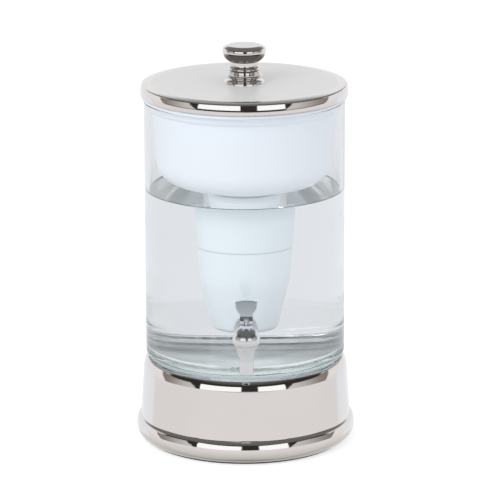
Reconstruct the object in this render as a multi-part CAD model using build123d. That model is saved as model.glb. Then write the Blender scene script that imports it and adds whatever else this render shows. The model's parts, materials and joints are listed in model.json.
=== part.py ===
from build123d import *
import math
import os

# Water filter dispenser: a glass jar on a polished steel base, with a white
# reservoir and a filter cartridge hung in its mouth, a lift-off lid and a lever tap.
# Millimetres, +Z up, the tap faces -Y. The origin is on the jar's axis, on the
# surface that the dispenser stands on.

# Glass jar
JAR_RADIUS = 115.0
JAR_WALL = 5.0
JAR_FLOOR = 10.0
JAR_HEIGHT = 303.5
JAR_FOOT_ROUND = 8.0
JAR_BORE_ROUND = 6.0
JAR_RIM_ROUND = 2.0

# Steel base: spun sheet with a rolled shoulder and a beaded foot
BASE_HEIGHT = 98.0
BASE_FOOT_RADIUS = 126.6
BASE_GAUGE = 1.0
BASE_DRAFT = 3.5
BASE_CROWN_ROUND = 3.0
BASE_CROWN_TURN = 62.0
BASE_SHOULDER_ROUND = 26.0
BASE_SHOULDER_TURN = 84.0
BASE_BLEND_ROUND = 60.0
BASE_CREASE_ROUND = 1.0
BASE_CREASE_TURN = 25.0
BASE_BEAD_ROUND = 6.0
BASE_BEAD_TURN = 68.0
BASE_BULGE_ROUND = 20.0
BASE_BULGE_TURN = 84.0
BASE_SKIRT_ROUND = 35.0
BASE_FOOT_ROUND = 14.8
BASE_HEM_WIDTH = 7.0
BASE_RECESS_DEPTH = 1.0
BASE_RECESS_MARGIN = 10.0

# Rings that the jar and the base stand on
PAD_WIDTH = 12.0
PAD_THICKNESS = 1.5
FOOT_RING_THICKNESS = 1.5
FOOT_RING_WIDTH = 9.0

# White reservoir
RESERVOIR_DEPTH = 96.5
RESERVOIR_WALL = 2.5
RESERVOIR_FLOOR = 3.0
RESERVOIR_FLANGE = 4.0
RESERVOIR_OVERHANG = 2.0
RESERVOIR_COLLAR_DEPTH = 7.0
RESERVOIR_STEP = 3.6
RESERVOIR_TAPER = 6.0
RESERVOIR_CORNER_ROUND = 28.0

# Filter cartridge
FILTER_NECK_RADIUS = 45.0
FILTER_WAIST_RADIUS = 38.2
FILTER_WAIST_HEIGHT = 57.0
FILTER_FOOT_RADIUS = 27.5
FILTER_FOOT_ROUND = 6.0
FILTER_WAIST_ROUND = 30.0
FILTER_WALL = 2.0
FILTER_FLANGE_WIDTH = 6.0
FILTER_FLANGE_THICKNESS = 3.0
FILTER_SEAM_HEIGHT = 96.0
FILTER_SEAM_WIDTH = 1.0
FILTER_SEAM_DEPTH = 0.5
FILTER_OUTLET_RADIUS = 1.6
FILTER_OUTLET_COUNT = 10
FILTER_SEAL_THICKNESS = 3.0
FILTER_CAP_THICKNESS = 2.5
FILTER_CAP_SKIRT = 3.5
FILTER_SLOT_COUNT = 16
FILTER_SLOT_WIDTH = 2.0
FILTER_TAB_WIDTH = 20.0
FILTER_TAB_HEIGHT = 13.0
FILTER_TAB_THICKNESS = 3.0
PREFILTER_THICKNESS = 3.0
FOAM_THICKNESS = 11.0
CARBON_THICKNESS = 46.0
MEMBRANE_THICKNESS = 2.5

# Lid
LID_OVERHANG = 1.9
LID_GAUGE = 1.0
LID_BREAK_ROUND = 20.0
LID_BREAK_TURN = 4.5
LID_SHOULDER_ROUND = 110.0
LID_SHOULDER_TURN = 9.0
LID_CORNER_ROUND = 2.0
LID_CORNER_TURN = 73.5
LID_SIDE_ROUND = 26.0
LID_LIP = 3.3
LID_HEM_ROUND = 1.4
LID_HEM_WIDTH = 8.0
LID_RING_DEPTH = 9.0
LID_RING_GAUGE = 1.0
LID_RING_LAP = 4.0

# Knob and its screw
KNOB_FOOT_RADIUS = 23.8
KNOB_FOOT_EDGE = 1.2
KNOB_FLARE_RADIUS = 17.8
KNOB_FLARE_RISE = 4.6
KNOB_FLARE_SAG = 1.4
KNOB_BEAD_RADIUS = 20.6
KNOB_BEAD_THICKNESS = 2.8
KNOB_NECK_RADIUS = 14.2
KNOB_NECK_RISE = 4.2
KNOB_RING_RADIUS = 18.3
KNOB_RING_THICKNESS = 5.8
KNOB_GROOVE_RISE = 1.7
KNOB_COLLAR_RADIUS = 16.6
KNOB_COLLAR_RISE = 4.0
KNOB_CAP_RADIUS = 25.0
KNOB_CAP_ROUND = 14.0
KNOB_CAP_TURN = 155.0
KNOB_RIM_ROUND = 8.0
KNOB_RIM_TURN = 75.0
KNOB_EDGE_ROUND = 3.0
KNOB_EDGE_TURN = 35.0
KNOB_CROWN_ROUND = 12.0
SCREW_RADIUS = 2.5
SCREW_DEPTH = 13.0
SCREW_HEAD_RADIUS = 5.0
SCREW_HEAD_HEIGHT = 3.2
SCREW_DRIVE_WIDTH = 1.2
SCREW_DRIVE_DEPTH = 1.6
WASHER_RADIUS = 8.0
WASHER_THICKNESS = 1.2

# Tap
TAP_REACH = 40.0
TAP_HEIGHT = 61.5
BALL_RADIUS = 15.3
BALL_FOOT_DROP = 5.4
BONNET_STEP = 0.5
BONNET_TOP_RADIUS = 6.8
BONNET_COLLAR = 2.8
BONNET_PLUG_DEPTH = 7.0
CHAMBER_RADIUS = 9.0
CHAMBER_DEPTH = 13.0
SEAT_DEPTH = 3.5
SPOUT_SHOULDER_RADIUS = 12.6
SPOUT_GROOVE_WIDTH = 1.4
SPOUT_GROOVE_DEPTH = 0.8
SPOUT_RADIUS = 8.0
SPOUT_BORE_RADIUS = 5.5
SPOUT_TAPER = 18.8
SPOUT_TAPER_SAG = 0.5
SPOUT_DROP = 41.0
SPOUT_LIP_ROUND = 0.8
SHANK_RADIUS = 8.0
SHANK_BORE_RADIUS = 4.5
SHANK_FLANGE_RADIUS = 14.0
SHANK_FLANGE_THICKNESS = 3.5
SHANK_NECK_RADIUS = 7.5
TAP_WASHER_THICKNESS = 3.0
TAP_WASHER_RADIUS = 13.0
NUT_ACROSS_FLATS = 24.0
NUT_HEIGHT = 9.0
NUT_COLLAR_RADIUS = 14.0
NUT_COLLAR_HEIGHT = 2.0
SHANK_TAIL = 3.0

# Stem, seat cup and lever
STEM_RADIUS = 3.0
STEM_FOOT_RADIUS = 4.2
STEM_FOOT_HEIGHT = 3.0
TONGUE_WIDTH = 5.0
TONGUE_RADIUS = 3.4
CUP_NOSE_RADIUS = 4.6
CUP_NOSE_DEPTH = 5.5
CUP_WALL = 1.6
CUP_RIM_THICKNESS = 2.0
PIN_RADIUS = 1.5
BARREL_RADIUS = 5.5
BARREL_WIDTH = 14.4
CAM_OFFSET = 3.0
LEVER_RISE = 22.5
PADDLE_WIDTH = 24.8
PADDLE_FLARE = 13.0
PADDLE_HEIGHT = 4.5
PADDLE_THICKNESS = 4.6
PADDLE_LEAN = 3.0
PADDLE_HOLLOW = 0.5
PADDLE_CROWN = 1.0
PADDLE_CORNER = 2.2
PADDLE_EDGE_ROUND = 0.8

# Clearances
SEAT_GAP = 0.05
RUNNING_GAP = 0.05
LOOSE_GAP = 0.2
HANG_GAP = 0.6
CAM_GAP = 0.3
TONGUE_GAP = 0.2
HOLE_GAP = 0.6
LID_RING_GAP = 1.0
FILTER_FLOOR_GAP = 27.5

# Largest share of a wall or tab that a rounded edge takes
EDGE_SHARE = 0.45

# Turn of a path that runs straight down, in degrees
PLUMB = 90.0

# Heights that follow from the stack of pieces
JAR_BASE_Z = BASE_HEIGHT - BASE_RECESS_DEPTH + PAD_THICKNESS
JAR_FLOOR_Z = JAR_BASE_Z + JAR_FLOOR
JAR_RIM_Z = JAR_BASE_Z + JAR_HEIGHT
LID_SEAT_Z = JAR_RIM_Z + RESERVOIR_FLANGE
RESERVOIR_BASE_Z = JAR_RIM_Z - RESERVOIR_DEPTH
RESERVOIR_FLOOR_Z = RESERVOIR_BASE_Z + RESERVOIR_FLOOR
FILTER_FLANGE_Z = RESERVOIR_FLOOR_Z + FILTER_SEAL_THICKNESS
FILTER_TOP_Z = FILTER_FLANGE_Z + FILTER_FLANGE_THICKNESS
FILTER_BASE_Z = JAR_FLOOR_Z + FILTER_FLOOR_GAP
FILTER_LENGTH = FILTER_FLANGE_Z - FILTER_BASE_Z
TAP_Z = JAR_BASE_Z + TAP_HEIGHT

# Radii and depths that follow from the pieces that they fit
JAR_BORE = JAR_RADIUS - JAR_WALL
RESERVOIR_COLLAR_RADIUS = JAR_BORE - HANG_GAP
RESERVOIR_TOP_RADIUS = RESERVOIR_COLLAR_RADIUS - RESERVOIR_STEP
FLANGE_RADIUS = JAR_RADIUS + RESERVOIR_OVERHANG
LID_RADIUS = FLANGE_RADIUS + LID_OVERHANG
RESERVOIR_MOUTH = RESERVOIR_TOP_RADIUS - RESERVOIR_WALL
FILTER_HOLE = FILTER_NECK_RADIUS + HANG_GAP
TAP_Y = -(JAR_RADIUS + TAP_REACH)
BONNET_SEAT = SHANK_NECK_RADIUS + BONNET_STEP
BONNET_DOME = math.sqrt(BALL_RADIUS**2 - BONNET_TOP_RADIUS**2)
BONNET_TOP = BONNET_DOME + BONNET_COLLAR
PIN_Z = TAP_Z + BONNET_TOP + CAM_GAP + BARREL_RADIUS


def turned(section):
    """Solid of revolution about Z from a section drawn as (radius, height)."""
    return revolve(Plane.XZ * section, Axis.Z)


def outline(points, rounds):
    """Closed section through the points, with a radius at some of its corners."""
    face = make_face(Polyline(*points, close=True))
    for corner, radius in rounds.items():
        vertex = face.vertices().sort_by_distance(Vector(*points[corner]))[0]
        face = fillet(vertex, radius)
    return face


def ring(inner, outer, low, high):
    """Plain ring about Z between two heights."""
    points = [(inner, low), (outer, low), (outer, high), (inner, high)]
    return turned(outline(points, {}))


def sheet(path, gauge):
    """Sheet metal turned about Z: the path is its outer skin, drawn outwards and down."""
    skin = Wire(path)
    return turned(make_face(offset(skin, gauge, side=Side.RIGHT, closed=True).edges()))


def along_y(solid, y):
    """Lays a solid built on +Z down along +Y, in the plane of the tap's shank, from y."""
    return Pos(0, y, TAP_Z) * (Rot(-90, 0, 0) * solid)


def along_x(solid, y, z):
    """Lays a solid built about Z down along X, through the given place."""
    return Pos(0, y, z) * (Rot(0, 90, 0) * solid)


def direction(turn):
    """Unit direction of a path that has turned down from +X by an angle."""
    return (math.cos(math.radians(turn)), -math.sin(math.radians(turn)))


def arc_reach(radius, start, end):
    """Run outwards and drop of an arc between two downward directions."""
    first, last = math.radians(start), math.radians(end)
    bend = math.copysign(radius, end - start)
    return bend * (math.sin(last) - math.sin(first)), bend * (math.cos(first) - math.cos(last))


def arcs_reach(arcs):
    """Run outwards and drop of a chain of arcs."""
    reaches = [arc_reach(*arc) for arc in arcs]
    return sum(run for run, _ in reaches), sum(drop for _, drop in reaches)


def follow(start, arcs):
    """Tangent arcs one after another, each given as (radius, start turn, end turn)."""
    edges = []
    point = start
    for radius, first, last in arcs:
        edges.append(JernArc(point, direction(first), radius, first - last))
        point = edges[-1] @ 1
    return edges


def base_shoulder_arcs():
    """Arcs of the base's skin from its flat top to its wall: crown, shoulder, blend."""
    return [
        (BASE_CROWN_ROUND, 0, BASE_CROWN_TURN),
        (BASE_SHOULDER_ROUND, BASE_CROWN_TURN, BASE_SHOULDER_TURN),
        (BASE_BLEND_ROUND, BASE_SHOULDER_TURN, PLUMB - BASE_DRAFT),
    ]


def base_foot_arcs():
    """Arcs of the base's skin below its wall: hollow crease, bead, bulge, skirt, rolled foot."""
    return [
        (BASE_CREASE_ROUND, PLUMB - BASE_DRAFT, BASE_CREASE_TURN),
        (BASE_BEAD_ROUND, BASE_CREASE_TURN, BASE_BEAD_TURN),
        (BASE_BULGE_ROUND, BASE_BEAD_TURN, BASE_BULGE_TURN),
        (BASE_SKIRT_ROUND, BASE_BULGE_TURN, PLUMB),
        (BASE_FOOT_ROUND, PLUMB, 2 * PLUMB),
    ]


def base_wall():
    """Step down along the base's straight wall, which takes the height that the arcs leave."""
    drops = arcs_reach(base_shoulder_arcs())[1] + arcs_reach(base_foot_arcs())[1]
    drop = BASE_HEIGHT - FOOT_RING_THICKNESS - drops
    return Vector(drop * math.tan(math.radians(BASE_DRAFT)), -drop)


def base_crown_radius():
    """Radius where the base's flat top ends."""
    runs = arcs_reach(base_shoulder_arcs())[0] + arcs_reach(base_foot_arcs()[:-1])[0]
    return BASE_FOOT_RADIUS - runs - base_wall().X


def pad_recess_radius():
    return base_crown_radius() - BASE_RECESS_MARGIN - BASE_RECESS_DEPTH


def base_shell():
    """Spun base: recessed top, rolled shoulder, drafted wall, beaded foot and hem."""
    crown = (base_crown_radius(), BASE_HEIGHT)
    recess_z = BASE_HEIGHT - BASE_RECESS_DEPTH
    recess = pad_recess_radius()
    top = Polyline((0, recess_z), (recess, recess_z), (recess + BASE_RECESS_DEPTH, BASE_HEIGHT), crown)
    shoulder = follow(crown, base_shoulder_arcs())
    wall_top = shoulder[-1] @ 1
    side = Line(wall_top, wall_top + base_wall())
    foot = follow(side @ 1, base_foot_arcs())
    hem_start = foot[-1] @ 1
    hem = Line(hem_start, hem_start - Vector(BASE_HEM_WIDTH, 0))
    return sheet([*top.edges(), *shoulder, side, *foot, hem], BASE_GAUGE)


def base_foot_ring():
    """Non-slip ring stuck under the hem; its underside is the standing face."""
    outer = BASE_FOOT_RADIUS - BASE_FOOT_ROUND + FOOT_RING_WIDTH - BASE_HEM_WIDTH
    return ring(outer - FOOT_RING_WIDTH, outer, 0, FOOT_RING_THICKNESS)


def jar_pad_ring():
    """Soft ring in the base's recess, which the jar stands on."""
    outer = pad_recess_radius() - LOOSE_GAP
    return ring(outer - PAD_WIDTH, outer, BASE_HEIGHT - BASE_RECESS_DEPTH, JAR_BASE_Z)


def glass_jar():
    """Straight jar with a thick floor and a hole for the tap's shank."""
    rim_round = min(JAR_RIM_ROUND, EDGE_SHARE * JAR_WALL)
    points = [
        (0, JAR_BASE_Z),
        (JAR_RADIUS, JAR_BASE_Z),
        (JAR_RADIUS, JAR_RIM_Z),
        (JAR_BORE, JAR_RIM_Z),
        (JAR_BORE, JAR_FLOOR_Z),
        (0, JAR_FLOOR_Z),
    ]
    rounds = {1: JAR_FOOT_ROUND, 2: rim_round, 3: rim_round, 4: JAR_BORE_ROUND}
    hole = along_y(Cylinder(SHANK_RADIUS + HOLE_GAP, 4 * JAR_WALL), -JAR_RADIUS)
    return turned(outline(points, rounds)) - hole


def reservoir():
    """Moulded reservoir: rim flange, collar in the jar's mouth, tapered wall, holed floor."""
    collar_z = JAR_RIM_Z - RESERVOIR_COLLAR_DEPTH
    taper_z = collar_z - RESERVOIR_STEP
    floor_radius = RESERVOIR_TOP_RADIUS - RESERVOIR_TAPER
    edge_round = EDGE_SHARE * RESERVOIR_FLANGE
    inner_round = RESERVOIR_CORNER_ROUND - RESERVOIR_WALL
    points = [
        (FILTER_HOLE, RESERVOIR_BASE_Z),
        (floor_radius, RESERVOIR_BASE_Z),
        (RESERVOIR_TOP_RADIUS, taper_z),
        (RESERVOIR_COLLAR_RADIUS, collar_z),
        (RESERVOIR_COLLAR_RADIUS, JAR_RIM_Z),
        (FLANGE_RADIUS, JAR_RIM_Z),
        (FLANGE_RADIUS, LID_SEAT_Z),
        (RESERVOIR_MOUTH, LID_SEAT_Z),
        (RESERVOIR_MOUTH, taper_z),
        (floor_radius - RESERVOIR_WALL, RESERVOIR_FLOOR_Z),
        (FILTER_HOLE, RESERVOIR_FLOOR_Z),
    ]
    rounds = {1: RESERVOIR_CORNER_ROUND, 5: edge_round, 6: edge_round, 7: edge_round, 9: inner_round}
    return turned(outline(points, rounds))


def filter_outline(inset, top):
    """Cartridge section from the axis out, up to a height, with its skin moved in."""
    waist_z = FILTER_BASE_Z + FILTER_WAIST_HEIGHT
    slope = (FILTER_NECK_RADIUS - FILTER_WAIST_RADIUS) / (FILTER_FLANGE_Z - waist_z)
    top_radius = FILTER_WAIST_RADIUS + slope * (top - waist_z) - inset
    points = [
        (0, FILTER_BASE_Z + inset),
        (FILTER_FOOT_RADIUS - inset, FILTER_BASE_Z + inset),
        (FILTER_WAIST_RADIUS - inset, waist_z),
        (top_radius, top),
        (0, top),
    ]
    return outline(points, {1: FILTER_FOOT_ROUND - inset, 2: FILTER_WAIST_ROUND})


def filter_layer(low, high):
    """One layer of the cartridge's filling, from wall to wall between two heights."""
    filling = turned(filter_outline(FILTER_WALL + LOOSE_GAP, FILTER_TOP_Z))
    return filling & ring(0, FILTER_NECK_RADIUS, low, high)


def filter_levels():
    """Heights between the layers of the filling, from the top down."""
    top = FILTER_TOP_Z - FILTER_CAP_SKIRT - LOOSE_GAP
    pad = top - PREFILTER_THICKNESS
    foam = pad - FOAM_THICKNESS
    carbon = foam - CARBON_THICKNESS
    bottom = FILTER_BASE_Z + FILTER_WALL + LOOSE_GAP
    return top, pad, foam, carbon, bottom + MEMBRANE_THICKNESS, bottom


def filter_housing():
    """Tapered cup with a rim flange, a moulded seam and outlet holes in its foot."""
    cup = turned(filter_outline(0, FILTER_TOP_Z)) - turned(filter_outline(FILTER_WALL, FILTER_TOP_Z))
    flange_radius = FILTER_NECK_RADIUS + FILTER_FLANGE_WIDTH
    cup += ring(FILTER_NECK_RADIUS - FILTER_WALL / 2, flange_radius, FILTER_FLANGE_Z, FILTER_TOP_Z)
    seam_low = FILTER_BASE_Z + FILTER_SEAM_HEIGHT
    above_waist = FILTER_SEAM_HEIGHT - FILTER_WAIST_HEIGHT
    rise = above_waist / (FILTER_LENGTH - FILTER_WAIST_HEIGHT)
    seam_radius = FILTER_WAIST_RADIUS + rise * (FILTER_NECK_RADIUS - FILTER_WAIST_RADIUS)
    cup -= ring(seam_radius - FILTER_SEAM_DEPTH, FILTER_NECK_RADIUS, seam_low, seam_low + FILTER_SEAM_WIDTH)
    outlet = Cylinder(FILTER_OUTLET_RADIUS, 4 * FILTER_WALL)
    circle = FILTER_FOOT_RADIUS - FILTER_FOOT_ROUND - 2 * FILTER_OUTLET_RADIUS
    for place in PolarLocations(circle, FILTER_OUTLET_COUNT):
        cup -= Pos(0, 0, FILTER_BASE_Z) * place * outlet
    return cup


def filter_cap():
    """Inlet cover with radial slots, a skirt in the cartridge's mouth and a pull tab."""
    mouth = FILTER_NECK_RADIUS - FILTER_WALL - LOOSE_GAP
    top = FILTER_TOP_Z + FILTER_CAP_THICKNESS
    cap = ring(0, FILTER_NECK_RADIUS + FILTER_FLANGE_WIDTH / 2, FILTER_TOP_Z, top)
    cap += ring(mouth - FILTER_WALL, mouth, FILTER_TOP_Z - FILTER_CAP_SKIRT, FILTER_TOP_Z)
    slot_length = mouth - FILTER_WALL - FILTER_TAB_WIDTH / 2 - 4 * FILTER_SLOT_WIDTH
    slot = extrude(SlotOverall(slot_length, FILTER_SLOT_WIDTH), 4 * FILTER_CAP_THICKNESS, both=True)
    middle = mouth - FILTER_WALL - 2 * FILTER_SLOT_WIDTH - slot_length / 2
    for place in PolarLocations(middle, FILTER_SLOT_COUNT):
        cap -= Pos(0, 0, top) * place * slot
    half = FILTER_TAB_WIDTH / 2
    tab = outline(
        [(-half, top), (half, top), (half, top + FILTER_TAB_HEIGHT), (-half, top + FILTER_TAB_HEIGHT)],
        {2: EDGE_SHARE * FILTER_TAB_WIDTH, 3: EDGE_SHARE * FILTER_TAB_WIDTH},
    )
    return cap + extrude(Plane.XZ * tab, FILTER_TAB_THICKNESS / 2, both=True)


def filter_seal_ring():
    """Seal under the cartridge's flange, on the reservoir's floor."""
    inner = FILTER_NECK_RADIUS + SEAT_GAP
    outer = FILTER_NECK_RADIUS + FILTER_FLANGE_WIDTH - FILTER_SEAM_WIDTH
    return ring(inner, outer, RESERVOIR_FLOOR_Z, FILTER_FLANGE_Z)


def lid_arcs():
    """Arcs of the lid's skin from its flat crown out: break, shoulder, corner, side."""
    return [
        (LID_BREAK_ROUND, 0, LID_BREAK_TURN),
        (LID_SHOULDER_ROUND, LID_BREAK_TURN, LID_SHOULDER_TURN),
        (LID_CORNER_ROUND, LID_SHOULDER_TURN, LID_CORNER_TURN),
        (LID_SIDE_ROUND, LID_CORNER_TURN, PLUMB),
    ]


def lid_top_z():
    """Height of the lid's flat crown."""
    return LID_SEAT_Z + LID_HEM_ROUND + LID_LIP + arcs_reach(lid_arcs())[1]


def lid_shell():
    """Spun lid: flat crown, falling shoulder, tight corner, bowed side and turned-in hem."""
    crown = Line((0, lid_top_z()), (LID_RADIUS - arcs_reach(lid_arcs())[0], lid_top_z()))
    skin = follow(crown @ 1, lid_arcs())
    lip = Line(skin[-1] @ 1, (skin[-1] @ 1) - Vector(0, LID_LIP))
    curl = follow(lip @ 1, [(LID_HEM_ROUND, PLUMB, 2 * PLUMB)])
    hem = Line(curl[-1] @ 1, (curl[-1] @ 1) - Vector(LID_HEM_WIDTH, 0))
    shell = sheet([crown, *skin, lip, *curl, hem], LID_GAUGE)
    return shell - Pos(0, 0, lid_top_z()) * Cylinder(SCREW_RADIUS + LOOSE_GAP, 4 * LID_GAUGE)


def lid_locating_ring():
    """Pressed ring welded on the lid's hem; its skirt drops into the reservoir's mouth."""
    outer = LID_RADIUS - LID_HEM_ROUND - LID_HEM_WIDTH + LID_RING_LAP
    skirt = RESERVOIR_MOUTH - LID_RING_GAP
    lap_z = LID_SEAT_Z + LID_GAUGE
    points = [
        (skirt, LID_SEAT_Z - LID_RING_DEPTH),
        (skirt, lap_z),
        (outer, lap_z),
        (outer, lap_z + LID_RING_GAUGE),
        (skirt - LID_RING_GAUGE, lap_z + LID_RING_GAUGE),
        (skirt - LID_RING_GAUGE, LID_SEAT_Z - LID_RING_DEPTH),
    ]
    return turned(outline(points, {4: LID_RING_GAUGE}))


def knob_cap_arcs():
    """Arcs of the knob's cap from its flat top out, over the rim and under to the collar."""
    return [
        (KNOB_CROWN_ROUND, 0, KNOB_EDGE_TURN),
        (KNOB_EDGE_ROUND, KNOB_EDGE_TURN, KNOB_RIM_TURN),
        (KNOB_RIM_ROUND, KNOB_RIM_TURN, PLUMB),
        (KNOB_CAP_ROUND, PLUMB, KNOB_CAP_TURN),
    ]


def lid_knob():
    """Turned knob: flared foot, thin bead, neck, ring, groove, collar and mushroom cap."""
    flare_z = KNOB_FOOT_EDGE + KNOB_FLARE_RISE
    bead_z = flare_z + KNOB_BEAD_THICKNESS
    ring_z = bead_z + KNOB_NECK_RISE
    groove_z = ring_z + KNOB_RING_THICKNESS
    collar_z = groove_z + KNOB_GROOVE_RISE
    cap_z = collar_z + KNOB_COLLAR_RISE
    top_z = cap_z + arcs_reach(knob_cap_arcs())[1]
    foot = Polyline((0, 0), (KNOB_FOOT_RADIUS, 0), (KNOB_FOOT_RADIUS, KNOB_FOOT_EDGE))
    flare = SagittaArc(foot @ 1, (KNOB_FLARE_RADIUS, flare_z), KNOB_FLARE_SAG)
    bead_middle = (KNOB_BEAD_RADIUS, (flare_z + bead_z) / 2)
    bead = ThreePointArc(flare @ 1, bead_middle, (KNOB_FLARE_RADIUS, bead_z))
    neck = Polyline(bead @ 1, (KNOB_NECK_RADIUS, bead_z), (KNOB_NECK_RADIUS, ring_z))
    ring_middle = (KNOB_RING_RADIUS, (ring_z + groove_z) / 2)
    middle_ring = ThreePointArc(neck @ 1, ring_middle, (KNOB_NECK_RADIUS, groove_z))
    flat_radius = KNOB_CAP_RADIUS - arcs_reach(knob_cap_arcs()[:-1])[0]
    top = Line((0, top_z), (flat_radius, top_z))
    cap = follow(top @ 1, knob_cap_arcs())
    collar = Polyline(
        middle_ring @ 1,
        (KNOB_NECK_RADIUS, collar_z),
        (KNOB_COLLAR_RADIUS, collar_z),
        (KNOB_COLLAR_RADIUS, cap_z),
        cap[-1] @ 1,
    )
    axis = Line((0, top_z), (0, 0))
    below = [*foot.edges(), flare, bead, *neck.edges(), middle_ring, *collar.edges()]
    hole = ring(0, SCREW_RADIUS + SEAT_GAP, 0, SCREW_DEPTH + LOOSE_GAP)
    return Pos(0, 0, lid_top_z()) * (turned(make_face([*below, *cap, top, axis])) - hole)


def lid_knob_washer():
    """Flat washer between the screw's head and the lid's inside."""
    top = lid_top_z() - LID_GAUGE - LOOSE_GAP / 2
    return ring(SCREW_RADIUS + LOOSE_GAP, WASHER_RADIUS, top - WASHER_THICKNESS, top)


def lid_knob_screw():
    """Slotted screw up through the washer and the lid into the knob."""
    head_top = lid_top_z() - LID_GAUGE - LOOSE_GAP / 2 - WASHER_THICKNESS
    head_low = head_top - SCREW_HEAD_HEIGHT
    tip = lid_top_z() + SCREW_DEPTH
    points = [
        (0, head_low),
        (SCREW_HEAD_RADIUS, head_low),
        (SCREW_HEAD_RADIUS, head_top),
        (SCREW_RADIUS, head_top),
        (SCREW_RADIUS, tip),
        (0, tip),
    ]
    screw = turned(outline(points, {1: SCREW_DRIVE_WIDTH}))
    drive = Box(4 * SCREW_HEAD_RADIUS, SCREW_DRIVE_WIDTH, 2 * SCREW_DRIVE_DEPTH)
    return screw - Pos(0, 0, head_low) * drive


def shank_stations():
    """Places along Y of the shank's flange, washers, nut and inner end."""
    flange_in = -JAR_RADIUS - TAP_WASHER_THICKNESS
    flange_out = flange_in - SHANK_FLANGE_THICKNESS
    nut_out = -JAR_BORE + TAP_WASHER_THICKNESS
    nut_in = nut_out + NUT_COLLAR_HEIGHT + NUT_HEIGHT
    return flange_out, flange_in, nut_out, nut_in, nut_in + SHANK_TAIL


def at_tap(solid):
    """Moves a solid built about Z, at ball height zero, to the tap."""
    return Pos(0, TAP_Y, TAP_Z) * solid


def spigot_body():
    """Ball with a grooved, tapered spout below, a neck, a wall flange and a hollow shank behind."""
    seat_radius = math.sqrt(BALL_RADIUS**2 - BONNET_SEAT**2)
    foot_radius = math.sqrt(BALL_RADIUS**2 - BALL_FOOT_DROP**2)
    groove_radius = SPOUT_SHOULDER_RADIUS - SPOUT_GROOVE_DEPTH
    shoulder_z = -BALL_FOOT_DROP - SPOUT_GROOVE_WIDTH
    ball = ThreePointArc((seat_radius, BONNET_SEAT), (BALL_RADIUS, 0), (foot_radius, -BALL_FOOT_DROP))
    groove = Polyline(
        ball @ 1,
        (groove_radius, -BALL_FOOT_DROP),
        (groove_radius, shoulder_z),
        (SPOUT_SHOULDER_RADIUS, shoulder_z),
    )
    taper = SagittaArc(groove @ 1, (SPOUT_RADIUS, shoulder_z - SPOUT_TAPER), -SPOUT_TAPER_SAG)
    lip_z = -SPOUT_DROP + SPOUT_LIP_ROUND
    pipe = Polyline(
        taper @ 1,
        (SPOUT_RADIUS, lip_z),
        (SPOUT_RADIUS - SPOUT_LIP_ROUND, -SPOUT_DROP),
        (0, -SPOUT_DROP),
        (0, BONNET_SEAT),
        (seat_radius, BONNET_SEAT),
    )
    outside = at_tap(turned(make_face([ball, *groove.edges(), taper, *pipe.edges()])))
    flange_out, flange_in, _, _, tail = shank_stations()
    outside += along_y(ring(0, SHANK_NECK_RADIUS, 0, flange_out - TAP_Y), TAP_Y)
    outside += along_y(ring(0, SHANK_FLANGE_RADIUS, 0, SHANK_FLANGE_THICKNESS), flange_out)
    outside += along_y(ring(0, SHANK_RADIUS, 0, tail - flange_in), flange_in)
    chamber = outline(
        [
            (0, -SPOUT_DROP),
            (SPOUT_BORE_RADIUS, -SPOUT_DROP),
            (SPOUT_BORE_RADIUS, -CHAMBER_DEPTH - SEAT_DEPTH),
            (CHAMBER_RADIUS, -CHAMBER_DEPTH),
            (CHAMBER_RADIUS, BONNET_SEAT),
            (0, BONNET_SEAT),
        ],
        {},
    )
    feed = along_y(ring(0, SHANK_BORE_RADIUS, 0, tail - TAP_Y), TAP_Y)
    return outside - at_tap(turned(chamber)) - feed


def spigot_bonnet():
    """Cap that completes the ball, with a plug in the chamber and a bore for the stem."""
    seat_radius = math.sqrt(BALL_RADIUS**2 - BONNET_SEAT**2)
    middle = (BONNET_SEAT + BONNET_DOME) / 2
    dome = ThreePointArc(
        (seat_radius, BONNET_SEAT),
        (math.sqrt(BALL_RADIUS**2 - middle**2), middle),
        (BONNET_TOP_RADIUS, BONNET_DOME),
    )
    bore = STEM_RADIUS + RUNNING_GAP
    plug = CHAMBER_RADIUS - SEAT_GAP
    inside = Polyline(
        (BONNET_TOP_RADIUS, BONNET_DOME),
        (BONNET_TOP_RADIUS, BONNET_TOP),
        (bore, BONNET_TOP),
        (bore, BONNET_SEAT - BONNET_PLUG_DEPTH),
        (plug, BONNET_SEAT - BONNET_PLUG_DEPTH),
        (plug, BONNET_SEAT),
        (seat_radius, BONNET_SEAT),
    )
    return at_tap(turned(make_face([dome, *inside.edges()])))


def stem_foot_z():
    """Height of the stem's lower end above the ball's centre, inside the cup's nose."""
    return -CHAMBER_DEPTH - SEAT_DEPTH + CUP_NOSE_DEPTH - STEM_FOOT_HEIGHT


def spigot_stem():
    """Rod with a button foot that the cup holds and a flat tongue for the lever's pin."""
    foot = stem_foot_z()
    pin = PIN_Z - TAP_Z
    points = [
        (0, foot),
        (STEM_FOOT_RADIUS, foot),
        (STEM_FOOT_RADIUS, foot + STEM_FOOT_HEIGHT / 2),
        (STEM_RADIUS, foot + STEM_FOOT_HEIGHT),
        (STEM_RADIUS, pin),
        (0, pin),
    ]
    rod = at_tap(turned(outline(points, {}))) + along_x(Cylinder(TONGUE_RADIUS, TONGUE_WIDTH), TAP_Y, PIN_Z)
    reach = BARREL_RADIUS + CAM_OFFSET + TONGUE_GAP
    tongue = Pos(0, TAP_Y, PIN_Z) * Box(TONGUE_WIDTH, 4 * TONGUE_RADIUS, 2 * reach)
    below = at_tap(ring(0, STEM_FOOT_RADIUS, foot, pin - reach))
    flat = (rod & tongue) + (rod & below)
    return flat - along_x(Cylinder(PIN_RADIUS + SEAT_GAP, 2 * TONGUE_WIDTH), TAP_Y, PIN_Z)


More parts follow.
